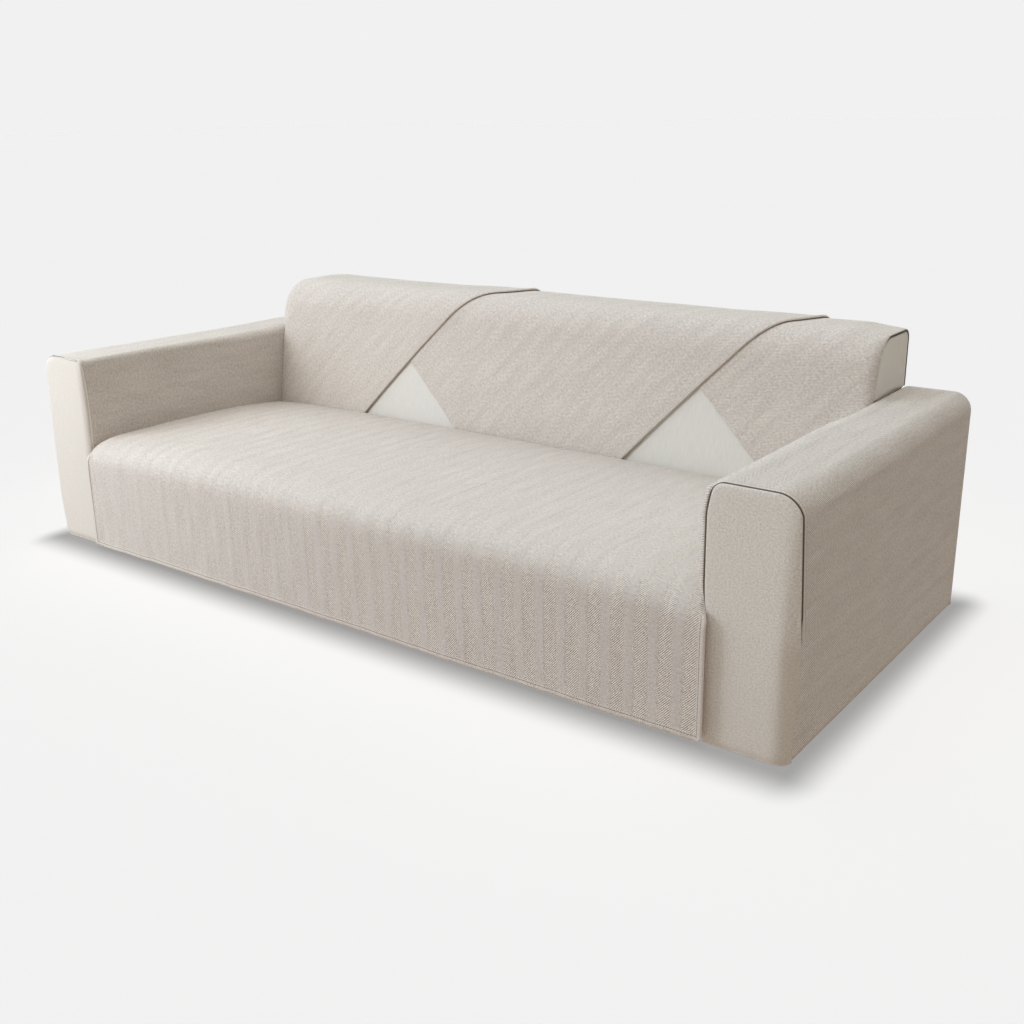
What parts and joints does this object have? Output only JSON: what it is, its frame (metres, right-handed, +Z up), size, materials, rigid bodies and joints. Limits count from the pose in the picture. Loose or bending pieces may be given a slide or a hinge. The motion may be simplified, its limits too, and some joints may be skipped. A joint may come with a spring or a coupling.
{
  "type": "sofa slipcover",
  "caption": "Fitted herringbone and plain cloth slipcover for a long low sofa: boxed arms, crowned seat with a front drop, and diagonal pieces lapped over the back.",
  "frame": {"origin": "bottom centre of the cover's box, level with the hems of the arms", "axes": "+X to the right seen from the front, along the cover's length; +Y from the seat's front drop towards the rear; +Z up"},
  "size_m": [2.4032, 1.0358, 0.7125],
  "materials": {
    "herringbone_cloth": "warm beige herringbone cloth, soft and matt, woven in columns",
    "plain_cloth": "cream plain-weave cloth, matt, fine grain",
    "piping": "narrow dark brown corded piping"
  },
  "bodies": {
    "root": {"seat_cover": "herringbone_cloth", "back_panel": "plain_cloth", "back_piece_left": "herringbone_cloth", "back_piece_middle": "herringbone_cloth", "back_piece_right": "herringbone_cloth", "back_end_left": "plain_cloth", "back_end_right": "plain_cloth", "back_piping_left": "piping", "back_piping_right": "piping", "arm_cover_left": "herringbone_cloth", "arm_cover_right": "herringbone_cloth", "arm_front_left": "plain_cloth", "arm_front_right": "plain_cloth", "arm_rear_left": "plain_cloth", "arm_rear_right": "plain_cloth", "arm_piping_left": "piping", "arm_piping_right": "piping"}
  },
  "joints": []
}
